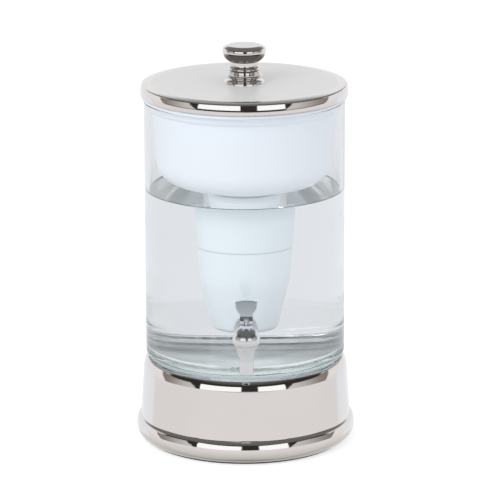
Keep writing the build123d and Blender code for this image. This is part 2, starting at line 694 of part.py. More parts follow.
def spigot_seat_cup():
    """Silicone cup: a nose in the spout's seat, a bell wall and a rim under the bonnet."""
    rim_high = BONNET_SEAT - BONNET_PLUG_DEPTH - SEAT_GAP
    rim_low = rim_high - CUP_RIM_THICKNESS
    nose_low = -CHAMBER_DEPTH - SEAT_DEPTH + SEAT_GAP
    nose_high = nose_low + CUP_NOSE_DEPTH
    rim_radius = CHAMBER_RADIUS - LOOSE_GAP
    neck = STEM_RADIUS + RUNNING_GAP
    bell = neck + CUP_WALL
    points = [
        (0, nose_low),
        (CUP_NOSE_RADIUS, nose_low),
        (CUP_NOSE_RADIUS + CUP_WALL, nose_high),
        (bell, nose_high + CUP_WALL),
        (bell, rim_low - CUP_WALL),
        (rim_radius, rim_low),
        (rim_radius, rim_high),
        (0, rim_high),
    ]
    foot = stem_foot_z()
    pocket = [
        (0, foot - SEAT_GAP),
        (STEM_FOOT_RADIUS + SEAT_GAP, foot - SEAT_GAP),
        (STEM_FOOT_RADIUS + SEAT_GAP, foot + STEM_FOOT_HEIGHT / 2),
        (neck, foot + STEM_FOOT_HEIGHT),
        (neck, rim_high),
        (0, rim_high),
    ]
    return at_tap(turned(outline(points, {})) - turned(outline(pocket, {})))


def spigot_lever_pin():
    """Cross pin through the lever's cheeks and the stem's tongue."""
    return along_x(Cylinder(PIN_RADIUS, BARREL_WIDTH), TAP_Y, PIN_Z)


def paddle_front():
    """Front outline of the lever's blade: straight neck, flare, round corners and bowed top."""
    half_neck = BARREL_WIDTH / 2
    half_paddle = PADDLE_WIDTH / 2
    half_top = half_paddle - PADDLE_CORNER
    top = PIN_Z + LEVER_RISE - PADDLE_CROWN
    flare_high = top - PADDLE_HEIGHT
    flare_low = flare_high - PADDLE_FLARE
    upright = [(0, 1), (0, 1)]
    right = [
        Line((half_neck, PIN_Z), (half_neck, flare_low)),
        Spline((half_neck, flare_low), (half_paddle, flare_high), tangents=upright),
        Line((half_paddle, flare_high), (half_paddle, top - PADDLE_CORNER)),
        JernArc((half_paddle, top - PADDLE_CORNER), (0, 1), PADDLE_CORNER, 90),
    ]
    left = [mirror(edge, Plane.YZ) for edge in right]
    crown = ThreePointArc((half_top, top), (0, top + PADDLE_CROWN), (-half_top, top))
    foot = Line((-half_neck, PIN_Z), (half_neck, PIN_Z))
    return make_face([*right, *left, crown, foot])


def paddle_side(back):
    """Side outline of the lever's blade: an even thickness that leans back, hollow in front."""
    front = back - PADDLE_THICKNESS
    top = PIN_Z + LEVER_RISE
    face_line = SagittaArc((front, PIN_Z), (front + PADDLE_LEAN, top), PADDLE_HOLLOW)
    back_line = SagittaArc((back, PIN_Z), (back + PADDLE_LEAN, top), PADDLE_HOLLOW)
    ends = [Line(face_line @ 1, back_line @ 1), Line(back_line @ 0, face_line @ 0)]
    return make_face([face_line, back_line, *ends])


def spigot_lever():
    """Flared paddle on an eccentric cross barrel that rolls on the bonnet as it tilts."""
    barrel_y = TAP_Y - CAM_OFFSET
    blade = extrude(Plane.XZ * paddle_front(), amount=-2 * TAP_Y, both=True)
    blade &= extrude(Plane.YZ * paddle_side(barrel_y + PADDLE_THICKNESS / 2), amount=PADDLE_WIDTH, both=True)
    above = blade.edges().filter_by_position(Axis.Z, PIN_Z + BARREL_RADIUS, PIN_Z + 2 * LEVER_RISE)
    blade = fillet(above, PADDLE_EDGE_ROUND)
    lever = blade + along_x(Cylinder(BARREL_RADIUS, BARREL_WIDTH), barrel_y, PIN_Z)
    slot_width = TONGUE_WIDTH + 2 * TONGUE_GAP
    slot_depth = 4 * BARREL_RADIUS
    slot_y = TAP_Y + TONGUE_RADIUS + TONGUE_GAP - slot_depth / 2
    slot_z = PIN_Z + TONGUE_RADIUS + TONGUE_GAP - slot_depth / 2
    lever -= Pos(0, slot_y, slot_z) * Box(slot_width, slot_depth, slot_depth)
    return lever - along_x(Cylinder(PIN_RADIUS + RUNNING_GAP, 2 * BARREL_WIDTH), TAP_Y, PIN_Z)


def spigot_outer_washer():
    """Soft washer between the tap's flange and the jar, cut to the jar's curve."""
    _, flange_in, _, _, _ = shank_stations()
    inner = SHANK_RADIUS + LOOSE_GAP
    washer = along_y(ring(inner, TAP_WASHER_RADIUS, 0, 2 * TAP_WASHER_THICKNESS), flange_in)
    return washer - ring(0, JAR_RADIUS + SEAT_GAP, JAR_BASE_Z, JAR_RIM_Z)


def spigot_inner_washer():
    """Soft washer between the jar's inside and the nut, cut to the jar's curve."""
    _, _, nut_out, _, _ = shank_stations()
    inner = SHANK_RADIUS + LOOSE_GAP
    length = 2 * TAP_WASHER_THICKNESS
    washer = along_y(ring(inner, TAP_WASHER_RADIUS, 0, length), nut_out - length)
    return washer & ring(0, JAR_BORE - SEAT_GAP, JAR_BASE_Z, JAR_RIM_Z)


def spigot_nut():
    """Hexagon nut with a round collar, on the shank inside the jar."""
    _, _, nut_out, _, _ = shank_stations()
    hexagon = RegularPolygon(NUT_ACROSS_FLATS / 2, 6, major_radius=False)
    nut = Pos(0, 0, NUT_COLLAR_HEIGHT) * extrude(hexagon, NUT_HEIGHT)
    nut += ring(0, NUT_COLLAR_RADIUS, 0, NUT_COLLAR_HEIGHT)
    nut -= ring(0, SHANK_RADIUS + SEAT_GAP, 0, NUT_COLLAR_HEIGHT + NUT_HEIGHT)
    return along_y(nut, nut_out)


def filter_fillings():
    """The cartridge's layers, by name."""
    top, pad, foam, carbon, resin, bottom = filter_levels()
    return {
        "filter_prefilter_pad": filter_layer(pad, top),
        "filter_foam_distributor": filter_layer(foam, pad),
        "filter_carbon_bed": filter_layer(carbon, foam),
        "filter_resin_bed": filter_layer(resin, carbon),
        "filter_outlet_membrane": filter_layer(bottom, resin),
    }


def all_pieces():
    """Every piece of the dispenser, by name."""
    pieces = {
        "base_shell": base_shell(),
        "base_foot_ring": base_foot_ring(),
        "jar_pad_ring": jar_pad_ring(),
        "glass_jar": glass_jar(),
        "reservoir": reservoir(),
        "filter_housing": filter_housing(),
        "filter_cap": filter_cap(),
        "filter_seal_ring": filter_seal_ring(),
        "lid_shell": lid_shell(),
        "lid_locating_ring": lid_locating_ring(),
        "lid_knob": lid_knob(),
        "lid_knob_washer": lid_knob_washer(),
        "lid_knob_screw": lid_knob_screw(),
        "spigot_body": spigot_body(),
        "spigot_bonnet": spigot_bonnet(),
        "spigot_stem": spigot_stem(),
        "spigot_seat_cup": spigot_seat_cup(),
        "spigot_lever_pin": spigot_lever_pin(),
        "spigot_lever": spigot_lever(),
        "spigot_outer_washer": spigot_outer_washer(),
        "spigot_inner_washer": spigot_inner_washer(),
        "spigot_nut": spigot_nut(),
    }
    pieces.update(filter_fillings())
    return pieces


os.makedirs("parts", exist_ok=True)
for name, shape in all_pieces().items():
    export_step(shape, f"parts/{name}.step")
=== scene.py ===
import json
import math

import bmesh
import bpy
from mathutils import Matrix, Vector


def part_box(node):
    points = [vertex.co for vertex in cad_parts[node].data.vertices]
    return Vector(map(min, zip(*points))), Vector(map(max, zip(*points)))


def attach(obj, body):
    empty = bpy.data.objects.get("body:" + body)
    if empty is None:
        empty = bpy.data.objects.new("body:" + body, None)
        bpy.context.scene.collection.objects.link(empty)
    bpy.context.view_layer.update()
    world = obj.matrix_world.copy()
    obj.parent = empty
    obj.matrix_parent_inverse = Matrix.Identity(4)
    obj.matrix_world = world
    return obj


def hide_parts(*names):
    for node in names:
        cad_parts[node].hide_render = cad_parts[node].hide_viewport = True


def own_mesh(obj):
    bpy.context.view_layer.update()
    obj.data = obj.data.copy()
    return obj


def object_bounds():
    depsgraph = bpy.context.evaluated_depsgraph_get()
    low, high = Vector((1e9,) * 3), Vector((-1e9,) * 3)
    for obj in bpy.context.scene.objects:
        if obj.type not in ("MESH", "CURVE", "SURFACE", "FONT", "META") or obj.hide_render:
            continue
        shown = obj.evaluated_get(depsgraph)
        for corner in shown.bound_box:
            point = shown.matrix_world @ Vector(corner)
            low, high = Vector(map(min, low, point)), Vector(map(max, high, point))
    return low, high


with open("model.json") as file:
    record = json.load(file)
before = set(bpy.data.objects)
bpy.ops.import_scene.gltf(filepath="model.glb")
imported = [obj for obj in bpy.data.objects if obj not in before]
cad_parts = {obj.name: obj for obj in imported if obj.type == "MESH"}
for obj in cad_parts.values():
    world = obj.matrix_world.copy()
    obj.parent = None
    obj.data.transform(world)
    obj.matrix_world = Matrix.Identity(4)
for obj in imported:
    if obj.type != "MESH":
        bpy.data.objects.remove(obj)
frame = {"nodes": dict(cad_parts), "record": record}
cad_low, cad_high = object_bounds()

# Water filter dispenser: finishes, water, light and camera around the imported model.
# Metres, +Z up, the tap faces -Y. Colours are linear red, green and blue, most with alpha.
# The scale of a texture is its number of cells along a metre.

# Camera, fitted to the photograph's view; angles in degrees
CAMERA_PLACE = (-0.03, -4.0, 1.27681)
CAMERA_TURN = -0.42
CAMERA_TILT = 75.228
CAMERA_ROLL = -0.22
CAMERA_LENS = 258.0
CAMERA_SHIFT_X = 0.0114

# Shared by the finishes; most of a noise lies within its span
WHITE = (1.0, 1.0, 1.0, 1.0)
NOISE_SPAN = (0.3, 0.7)
LATHE_LINE_DETAIL = 2.0
LATHE_LINE_DEPTH = 0.00005

# Polished steel: a mirror, with satin on the flat tops of the lid and its knob
STEEL_PALE = (0.80, 0.785, 0.775, 1.0)
STEEL_DULL = (0.75, 0.735, 0.725, 1.0)
STEEL_RING_SCALE = 900.0
STEEL_RING_SHARE = 0.35
STEEL_RING_BUMP = 0.03
STEEL_HAZE_SCALE = 18.0
STEEL_HAZE_DETAIL = 4.0
STEEL_ROUGHNESS = (0.03, 0.06)
SATIN_ABOVE = 0.3
SATIN_UPWARD = (0.9985, 0.9999)
SATIN_ROUGHNESS = 0.45
SATIN_METAL = 0.3
SATIN_PALE = (0.92, 0.92, 0.925, 1.0)

# Machined steel
MACHINED_LIGHT = (0.66, 0.66, 0.67, 1.0)
MACHINED_DARK = (0.52, 0.52, 0.53, 1.0)
MACHINED_LINE_SCALE = 2500.0
MACHINED_LINE_BUMP = 0.15
MACHINED_ROUGHNESS = (0.22, 0.38)

# Tap: bright plate, with a softer paddle above its foot, tinted bluer as a painted reflection
TAP_BRIGHT = (0.80, 0.84, 0.87, 1.0)
TAP_DULL = (0.75, 0.79, 0.82, 1.0)
TAP_SMUDGE_SCALE = 120.0
TAP_SMUDGE_DETAIL = 5.0
TAP_SMUDGE_SPAN = (0.35, 0.75)
TAP_ROUGHNESS = (0.22, 0.28)
PADDLE_FOOT = 0.184
PADDLE_FADE = 0.004
PADDLE_ROUGHNESS = 0.34
PADDLE_PAINTED_REFLECTION_TINT = (0.76, 0.86, 0.93, 1.0)

# Glass and water as materials
GLASS_WAVE_SCALE = 9.0
GLASS_WAVE_BUMP = 0.02
GLASS_IOR = 1.5
GLASS_TINT = (0.62, 0.78, 0.76, 1.0)
GLASS_TINT_DENSITY = 3.0
WATER_WAVE_SCALE = 14.0
WATER_WAVE_BUMP = 0.015
WATER_IOR = 1.333
WATER_TINT = (0.80, 0.90, 0.94, 1.0)
WATER_TINT_DENSITY = 0.8
WAVE_DETAIL = 1.0
WAVE_DEPTH = 0.002

# Mouldings
PLASTIC_CLOUD_SCALE = 22.0
PLASTIC_GRAIN_SCALE = 1500.0
PLASTIC_GRAIN_DETAIL = 2.0
PLASTIC_GRAIN_BUMP = 0.06
PLASTIC_GRAIN_DEPTH = 0.0001
PLASTIC_IOR = 1.49

# Filter cartridge: painted shade in its seam and on its neck, and a thin dark ring of painted shade under
# the reservoir
FILTER_PALE = (0.89, 0.96, 1.0, 1.0)
FILTER_CLOUD = (0.86, 0.94, 0.99, 1.0)
FILTER_ROUGHNESS = (0.32, 0.42)
FILTER_SEAM_RISE = 0.096
FILTER_SEAM_WIDTH = 0.001
FILTER_SEAM_SOFT = 0.0003
FILTER_SEAM_PAINTED_SHADE_DEPTH = 0.5
FILTER_NECK_PAINTED_SHADE_LOW = 0.045
FILTER_NECK_PAINTED_SHADE_HIGH = 0.010
FILTER_NECK_PAINTED_SHADE_DEPTH = 0.34
FILTER_PAINTED_SHADE_RING_LOW = 0.0166
FILTER_PAINTED_SHADE_RING_HEIGHT = 0.0035
FILTER_PAINTED_SHADE_RING_SOFT = 0.0004
FILTER_PAINTED_SHADE = (0.30, 0.38, 0.40, 1.0)
FILTER_PAINTED_SHADE_RING = (0.12, 0.15, 0.18, 1.0)

# Reservoir, paler near its bottom by painted light
RESERVOIR_WHITE = (0.87, 0.925, 0.985, 1.0)
RESERVOIR_CLOUD = (0.84, 0.895, 0.965, 1.0)
RESERVOIR_PAINTED_LIGHT = (0.925, 0.965, 1.0, 1.0)
RESERVOIR_PAINTED_LIGHT_RISE = 0.025
RESERVOIR_ROUGHNESS = (0.28, 0.38)

# Fleece, grains, silicone and rubber
FLEECE_DARK = (0.80, 0.80, 0.77, 1.0)
FLEECE_LIGHT = (0.94, 0.94, 0.92, 1.0)
FLEECE_SCALE = 700.0
FLEECE_DETAIL = 6.0
FLEECE_TANGLE = 0.75
FLEECE_BUMP = 0.6
FLEECE_DEPTH = 0.0004
FLEECE_ROUGHNESS = 0.9
FLEECE_SHEEN = 0.3
CARBON_DARK = (0.015, 0.015, 0.016, 1.0)
CARBON_LIGHT = (0.06, 0.06, 0.06, 1.0)
CARBON_SCALE = 900.0
CARBON_ROUGHNESS = 0.55
RESIN_DARK = (0.55, 0.36, 0.13, 1.0)
RESIN_LIGHT = (0.85, 0.68, 0.38, 1.0)
RESIN_SCALE = 1300.0
RESIN_ROUGHNESS = 0.35
GRAIN_BUMP = 0.8
GRAIN_DEPTH = 0.0006
SILICONE_PALE = (0.90, 0.92, 0.92, 1.0)
SILICONE_CLOUD = (0.80, 0.83, 0.84, 1.0)
SILICONE_SCALE = 160.0
SILICONE_ROUGHNESS = (0.3, 0.45)
SILICONE_IOR = 1.41
SILICONE_CLEARNESS = 0.5
RUBBER_DARK = (0.03, 0.03, 0.03, 1.0)
RUBBER_LIGHT = (0.075, 0.075, 0.075, 1.0)
RUBBER_SCALE = 900.0
RUBBER_BUMP = 0.4
RUBBER_DEPTH = 0.0002
RUBBER_ROUGHNESS = 0.75

# Shape of the water; it meets the glass a little inside its skin
JAR_WALL = 0.005
JAR_FLOOR = 0.010
JAR_BORE_ROUND = 0.006
WATER_GAP = 0.0085
WATER_IN_GLASS = 0.0004
MENISCUS_RISE = 0.0016
MENISCUS_WIDTH = 0.0035
MENISCUS_POWER = 3
CORNER_HOLD = 0.0005
LATHE_STEPS = 192
ROUND_STEPS = 8

# Light and floor; rays turn many times inside the glass and the water
GLASS_BOUNCES = 40
PLAIN_LIGHT = 0.85
FLOOR_SIZE = 80.0
FLOOR_DROP = 0.0002
FLOOR_PALE = (0.82, 0.835, 0.865, 1.0)
FLOOR_GLOW = 0.4
LAMP_SIZE = 1.2
KEY_PLACE = (-1.4, -1.6, 1.8)
KEY_POWER = 15.0
FILL_PLACE = (1.6, -1.0, 1.2)
FILL_POWER = 2.0

# Studio that the polished metal reflects: heights and turns in degrees, a turn of 0 is towards -Y
LOWEST = -90.0
HIGHEST = 90.0
FRONT_EDGE = 99.0
FRONT_EDGE_SOFT = 4.0
BACK_STOPS = [
    (LOWEST, (0.26, 0.24, 0.22)),
    (-30.0, (0.74, 0.72, 0.69)),
    (-12.0, (0.88, 0.845, 0.84)),
    (-6.0, (0.91, 0.875, 0.875)),
    (-3.0, (0.93, 0.92, 0.915)),
    (19.0, (0.93, 0.92, 0.915)),
    (24.0, (0.42, 0.41, 0.40)),
    (30.0, (0.27, 0.26, 0.255)),
    (34.0, (0.18, 0.175, 0.17)),
    (HIGHEST, (0.16, 0.155, 0.15)),
]
FRONT_STOPS = [
    (LOWEST, (0.40, 0.38, 0.35)),
    (-75.0, (0.60, 0.57, 0.53)),
    (-40.0, (0.74, 0.72, 0.69)),
    (-12.0, (0.88, 0.845, 0.84)),
    (-7.4, (0.91, 0.875, 0.875)),
    (-6.4, (0.035, 0.032, 0.030)),
    (26.0, (0.035, 0.032, 0.030)),
    (34.0, (0.15, 0.145, 0.14)),
    (HIGHEST, (0.16, 0.155, 0.15)),
]
BEHIND_EDGE = 124.0
BEHIND_HEIGHTS = (-20.0, -5.0)
BEHIND_SOFT = 1.5
BEHIND_WHITE = (0.93, 0.945, 0.98, 1.0)
LEFT_BOX = (-52.0, -5.0)
RIGHT_BOX = (13.6, 45.0)
BOX_HEIGHTS = (-2.6, 18.0)
BOX_SOFT = 0.7
BOX_WHITE = (1.25, 1.25, 1.25, 1.0)
LEFT_PANEL = (-104.0, -58.0)
RIGHT_PANEL = (48.0, 104.0)
PANEL_HEIGHTS = (-5.8, 15.0)
PANEL_SLANT = 0.5
PANEL_SOFT = 1.6
PANEL_TAUPE = (0.27, 0.235, 0.205, 1.0)
PANEL_PALE = (0.68, 0.66, 0.63, 1.0)

# What shows through the glass and the water: pale, with a dark strip, dimmer above and towards -Y
THROUGH_EDGE = 62.0
THROUGH_SOFT = 18.0
THROUGH_HEIGHT = 50.0
THROUGH_STOPS = [
    (LOWEST, (0.88, 0.895, 0.92)),
    (15.9, (0.88, 0.895, 0.92)),
    (16.12, (0.05, 0.065, 0.07)),
    (16.44, (0.05, 0.065, 0.07)),
    (16.6, (0.92, 0.96, 0.98)),
    (22.0, (0.86, 0.90, 0.92)),
    (34.0, (0.28, 0.32, 0.33)),
    (44.0, (0.28, 0.32, 0.33)),
    (60.0, (0.75, 0.79, 0.80)),
    (HIGHEST, (0.85, 0.87, 0.88)),
]
THROUGH_DARK = (0.20, 0.23, 0.24, 1.0)

# Sockets of the Mix node when it mixes colours
MIX_FACTOR = 0
MIX_FIRST = 6
MIX_SECOND = 7
MIX_RESULT = 2


# Helpers

def added(name, data):
    """New object with this data, in the scene."""
    piece = bpy.data.objects.new(name, data)
    bpy.context.scene.collection.objects.link(piece)
    return piece


def empty_tree(owner):
    """Node tree of a material or world, with no nodes yet."""
    owner.use_nodes = True
    owner.node_tree.nodes.clear()
    return owner.node_tree


def node(tree, kind, inputs=None, **settings):
    """Adds a shader node; an input is a number, a colour or another node's output."""
    made = tree.nodes.new("ShaderNode" + kind)
    for name, value in settings.items():
        setattr(made, name, value)
    for name, value in (inputs or {}).items():
        if isinstance(value, bpy.types.NodeSocket):
            tree.links.new(value, made.inputs[name])
        else:
            made.inputs[name].default_value = value
    return made


def math_node(tree, operation, first, second=0.0):
    """Result of one arithmetic step."""
    return node(tree, "Math", {0: first, 1: second}, operation=operation).outputs[0]


def mapped(tree, value, low, high, to_low, to_high, interpolation="SMOOTHSTEP"):
    """Value between low and high, spread over to_low and to_high and held beyond them."""
    inputs = {"Value": value, "From Min": low, "From Max": high, "To Min": to_low, "To Max": to_high}
    return node(tree, "MapRange", inputs, interpolation_type=interpolation).outputs["Result"]


def spread(tree, value, span):
    """Noise, spread evenly over a span."""
    return mapped(tree, value, *NOISE_SPAN, *span, "LINEAR")


def band(tree, value, low, high, soft):
    """One where value lies between low and high, zero outside, with soft edges."""
    rise = mapped(tree, value, low - soft, low + soft, 0.0, 1.0)
    fall = mapped(tree, value, high - soft, high + soft, 1.0, 0.0)
    return math_node(tree, "MULTIPLY", rise, fall)


def mixed(tree, factor, first, second):
    """Colour between first and second."""
    inputs = {MIX_FACTOR: factor, MIX_FIRST: first, MIX_SECOND: second}
    return node(tree, "Mix", inputs, data_type="RGBA").outputs[MIX_RESULT]


def ramp(tree, height, stops):
    """Colour by height in degrees, between stops from straight down to straight up."""
    share = mapped(tree, height, LOWEST, HIGHEST, 0.0, 1.0, "LINEAR")
    made = node(tree, "ValToRGB", {"Fac": share})
    elements = made.color_ramp.elements
    elements[0].color = (*stops[0][1], 1.0)
    elements[1].color = (*stops[-1][1], 1.0)
    for degrees, colour in stops[1:-1]:
        elements.new((degrees - LOWEST) / (HIGHEST - LOWEST)).color = (*colour, 1.0)
    return made.outputs["Color"]


def parts(tree, vector):
    """Outputs X, Y and Z of a vector."""
    return node(tree, "SeparateXYZ", {"Vector": vector}).outputs


def places(tree):
    """Places on the piece in metres, in the shared frame."""
    return node(tree, "TexCoord").outputs["Object"]


def noise(tree, scale, detail=3.0, vector=None, roughness=0.5):
    """Cloudy noise by place, or by another vector."""
    vector = places(tree) if vector is None else vector
    inputs = {"Vector": vector, "Scale": scale, "Detail": detail, "Roughness": roughness}
    return node(tree, "TexNoise", inputs).outputs["Fac"]


def bump(tree, height, strength, distance):
    """Normal of a surface that rises and falls with height."""
    inputs = {"Height": height, "Strength": strength, "Distance": distance}
    return node(tree, "Bump", inputs).outputs["Normal"]


def material(name):
    """New node material, as (material, tree, shader)."""
    made = bpy.data.materials.new(name)
    tree = empty_tree(made)
    shader = node(tree, "BsdfPrincipled")
    node(tree, "OutputMaterial", {"Surface": shader.outputs["BSDF"]})
    return made, tree, shader


def connect(tree, shader, **links):
    """Links outputs to the shader's inputs, named with underscores for spaces."""
    for name, socket in links.items():
        tree.links.new(socket, shader.inputs[name.replace("_", " ")])


def fixed(shader, **values):
    """Sets inputs of the shader that are the same all over the surface."""
    for name, value in values.items():
        shader.inputs[name.replace("_", " ")].default_value = value


# Finishes, each named after its slot in the record

def lathe_lines(tree, scale):
    """Fine rings as a lathe leaves them: noise that runs round the axis."""
    part = parts(tree, places(tree))
    flat = node(tree, "CombineXYZ", {"X": part["X"], "Y": part["Y"]}).outputs[0]
    radius = node(tree, "VectorMath", {0: flat}, operation="LENGTH").outputs["Value"]
    section = node(tree, "CombineXYZ", {"X": radius, "Z": part["Z"]}).outputs[0]
    return noise(tree, scale, LATHE_LINE_DETAIL, section)


def satin_flats(tree):
    """One on the flat tops of the lid and its knob, zero elsewhere and in other mirrors."""
    upward = parts(tree, node(tree, "NewGeometry").outputs["Normal"])["Z"]
    flat = mapped(tree, upward, *SATIN_UPWARD, 0.0, 1.0)
    mirrored = node(tree, "LightPath").outputs["Is Glossy Ray"]
    direct = math_node(tree, "MULTIPLY", flat, math_node(tree, "SUBTRACT", 1.0, mirrored))
    high = math_node(tree, "GREATER_THAN", parts(tree, places(tree))["Z"], SATIN_ABOVE)
    return math_node(tree, "MULTIPLY", direct, high)


def polished_steel(name):
    """Mirror-polished sheet with faint spun rings, handling haze and satin flats on top."""
    made, tree, shader = material(name)
    rings = lathe_lines(tree, STEEL_RING_SCALE)
    haze = noise(tree, STEEL_HAZE_SCALE, STEEL_HAZE_DETAIL)
    ring_wear = math_node(tree, "MULTIPLY", rings, STEEL_RING_SHARE)
    haze_wear = math_node(tree, "MULTIPLY", haze, 1 - STEEL_RING_SHARE)
    polish = spread(tree, math_node(tree, "ADD", ring_wear, haze_wear), STEEL_ROUGHNESS)
    satin = satin_flats(tree)
    satin_rough = math_node(tree, "MULTIPLY", satin, SATIN_ROUGHNESS)
    connect(
        tree,
        shader,
        Base_Color=mixed(tree, satin, mixed(tree, haze, STEEL_PALE, STEEL_DULL), SATIN_PALE),
        Roughness=math_node(tree, "MAXIMUM", polish, satin_rough),
        Metallic=mapped(tree, satin, 0.0, 1.0, 1.0, SATIN_METAL, "LINEAR"),
        Normal=bump(tree, rings, STEEL_RING_BUMP, LATHE_LINE_DEPTH),
    )
    return made


def plain_steel(name):
    """Machined steel with visible turning lines."""
    made, tree, shader = material(name)
    lines = lathe_lines(tree, MACHINED_LINE_SCALE)
    connect(
        tree,
        shader,
        Base_Color=mixed(tree, lines, MACHINED_LIGHT, MACHINED_DARK),
        Roughness=spread(tree, lines, MACHINED_ROUGHNESS),
        Normal=bump(tree, lines, MACHINED_LINE_BUMP, LATHE_LINE_DEPTH),
    )
    fixed(shader, Metallic=1.0)
    return made


def tap_chrome(name):
    """Bright plate with a trace of smudges."""
    made, tree, shader = material(name)
    smudge = noise(tree, TAP_SMUDGE_SCALE, TAP_SMUDGE_DETAIL)
    height = parts(tree, places(tree))["Z"]
    paddle = mapped(tree, height, PADDLE_FOOT, PADDLE_FOOT + PADDLE_FADE, 0.0, 1.0)
    plate = mixed(tree, smudge, TAP_BRIGHT, TAP_DULL)
    polish = mapped(tree, smudge, *TAP_SMUDGE_SPAN, *TAP_ROUGHNESS, "LINEAR")
    paddle_rough = math_node(tree, "MULTIPLY", paddle, PADDLE_ROUGHNESS)
    connect(
        tree,
        shader,
        # The paddle's bluer tint is a painted reflection
        Base_Color=mixed(tree, paddle, plate, PADDLE_PAINTED_REFLECTION_TINT),
        Roughness=math_node(tree, "MAXIMUM", polish, paddle_rough),
    )
    fixed(shader, Metallic=1.0)
    return made


def see_through(tree, shader, tint, density):
    """Tints the depth of a clear material and lets lamps and matt light pass straight through it."""
    inside = node(tree, "VolumeAbsorption", {"Color": tint, "Density": density})
    path = node(tree, "LightPath").outputs
    passing = math_node(tree, "MAXIMUM", path["Is Shadow Ray"], path["Is Diffuse Ray"])
    clear = node(tree, "BsdfTransparent")
    both = node(tree, "MixShader", {0: passing, 1: shader.outputs["BSDF"], 2: clear.outputs["BSDF"]})
    output = next(n for n in tree.nodes if n.type == "OUTPUT_MATERIAL")
    tree.links.new(both.outputs["Shader"], output.inputs["Surface"])
    tree.links.new(inside.outputs["Volume"], output.inputs["Volume"])


def wavy_clear(name, wave_scale, wave_bump, ior):
    """Clear material with a very slightly wavy surface, as (material, tree, shader)."""
    made, tree, shader = material(name)
    waves = noise(tree, wave_scale, WAVE_DETAIL)
    connect(tree, shader, Normal=bump(tree, waves, wave_bump, WAVE_DEPTH))
    fixed(shader, Base_Color=WHITE, Roughness=0.0, IOR=ior, Transmission_Weight=1.0)
    return made, tree, shader


def clear_glass(name):
    """Clear pressed glass with a green tint in its depth."""
    made, tree, shader = wavy_clear(name, GLASS_WAVE_SCALE, GLASS_WAVE_BUMP, GLASS_IOR)
    see_through(tree, shader, GLASS_TINT, GLASS_TINT_DENSITY)
    return made


def clear_water(name):
    """Still water with a faint cool tint."""
    made, tree, shader = wavy_clear(name, WATER_WAVE_SCALE, WATER_WAVE_BUMP, WATER_IOR)
    see_through(tree, shader, WATER_TINT, WATER_TINT_DENSITY)
    return made


def moulded_plastic(name, pale, cloudy, roughness):
    """Satin moulding, slightly clouded and with a fine even grain, as (material, tree, shader, colour)."""
    made, tree, shader = material(name)
    colour = mixed(tree, noise(tree, PLASTIC_CLOUD_SCALE), pale, cloudy)
    grain = noise(tree, PLASTIC_GRAIN_SCALE, PLASTIC_GRAIN_DETAIL)
    connect(
        tree,
        shader,
        Roughness=spread(tree, grain, roughness),
        Normal=bump(tree, grain, PLASTIC_GRAIN_BUMP, PLASTIC_GRAIN_DEPTH),
    )
    fixed(shader, IOR=PLASTIC_IOR)
    return made, tree, shader, colour


def filter_plastic(name):
    """Pale moulding with painted shade: darker in the joint of its two halves, where it leaves the
    reservoir and in a thin ring below it.
    """
    made, tree, shader, plain = moulded_plastic(name, FILTER_PALE, FILTER_CLOUD, FILTER_ROUGHNESS)
    height = parts(tree, places(tree))["Z"]
    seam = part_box("filter_housing")[0].z + FILTER_SEAM_RISE
    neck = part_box("reservoir")[0].z
    foot = neck - FILTER_PAINTED_SHADE_RING_LOW
    # The joint line of the two halves, darkened with painted shade as in its groove
    joint = band(tree, height, seam, seam + FILTER_SEAM_WIDTH, FILTER_SEAM_SOFT)
    joint_painted_shade = math_node(tree, "MULTIPLY", joint, FILTER_SEAM_PAINTED_SHADE_DEPTH)
    # Painted shade: the neck darkens towards the reservoir, as in the reservoir's shadow
    neck_painted_fade = mapped(tree, height, neck - FILTER_NECK_PAINTED_SHADE_LOW, neck - FILTER_NECK_PAINTED_SHADE_HIGH, 0.0, FILTER_NECK_PAINTED_SHADE_DEPTH)
    neck_painted_shade = math_node(tree, "MULTIPLY", neck_painted_fade, math_node(tree, "LESS_THAN", height, neck))
    painted_shade = math_node(tree, "MAXIMUM", joint_painted_shade, neck_painted_shade)
    # Painted shade: a thin dark ring on the neck under the reservoir, where there is only shade
    painted_shade_ring = band(tree, height, foot, foot + FILTER_PAINTED_SHADE_RING_HEIGHT, FILTER_PAINTED_SHADE_RING_SOFT)
    with_painted_shade = mixed(tree, painted_shade, plain, FILTER_PAINTED_SHADE)
    connect(tree, shader, Base_Color=mixed(tree, painted_shade_ring, with_painted_shade, FILTER_PAINTED_SHADE_RING))
    return made


def white_plastic(name):
    """White moulding, with painted light that makes it whitest in the reservoir's rounded bottom and in
    the tap's nut below it.
    """
    made, tree, shader, plain = moulded_plastic(
        name, RESERVOIR_WHITE, RESERVOIR_CLOUD, RESERVOIR_ROUGHNESS
    )
    height = parts(tree, places(tree))["Z"]
    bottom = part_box("reservoir")[0].z
    # Painted light: paler towards the reservoir's rounded bottom and in every white part below it
    low = mapped(tree, height, bottom, bottom + RESERVOIR_PAINTED_LIGHT_RISE, 1.0, 0.0)
    connect(tree, shader, Base_Color=mixed(tree, low, plain, RESERVOIR_PAINTED_LIGHT))
    return made


def filter_fleece(name):
    """Matted white fibres."""
    made, tree, shader = material(name)
    fibres = noise(tree, FLEECE_SCALE, FLEECE_DETAIL, roughness=FLEECE_TANGLE)
    connect(
        tree,
        shader,
        Base_Color=mixed(tree, fibres, FLEECE_DARK, FLEECE_LIGHT),
        Normal=bump(tree, fibres, FLEECE_BUMP, FLEECE_DEPTH),
    )
    fixed(shader, Roughness=FLEECE_ROUGHNESS, Sheen_Weight=FLEECE_SHEEN)
    return made


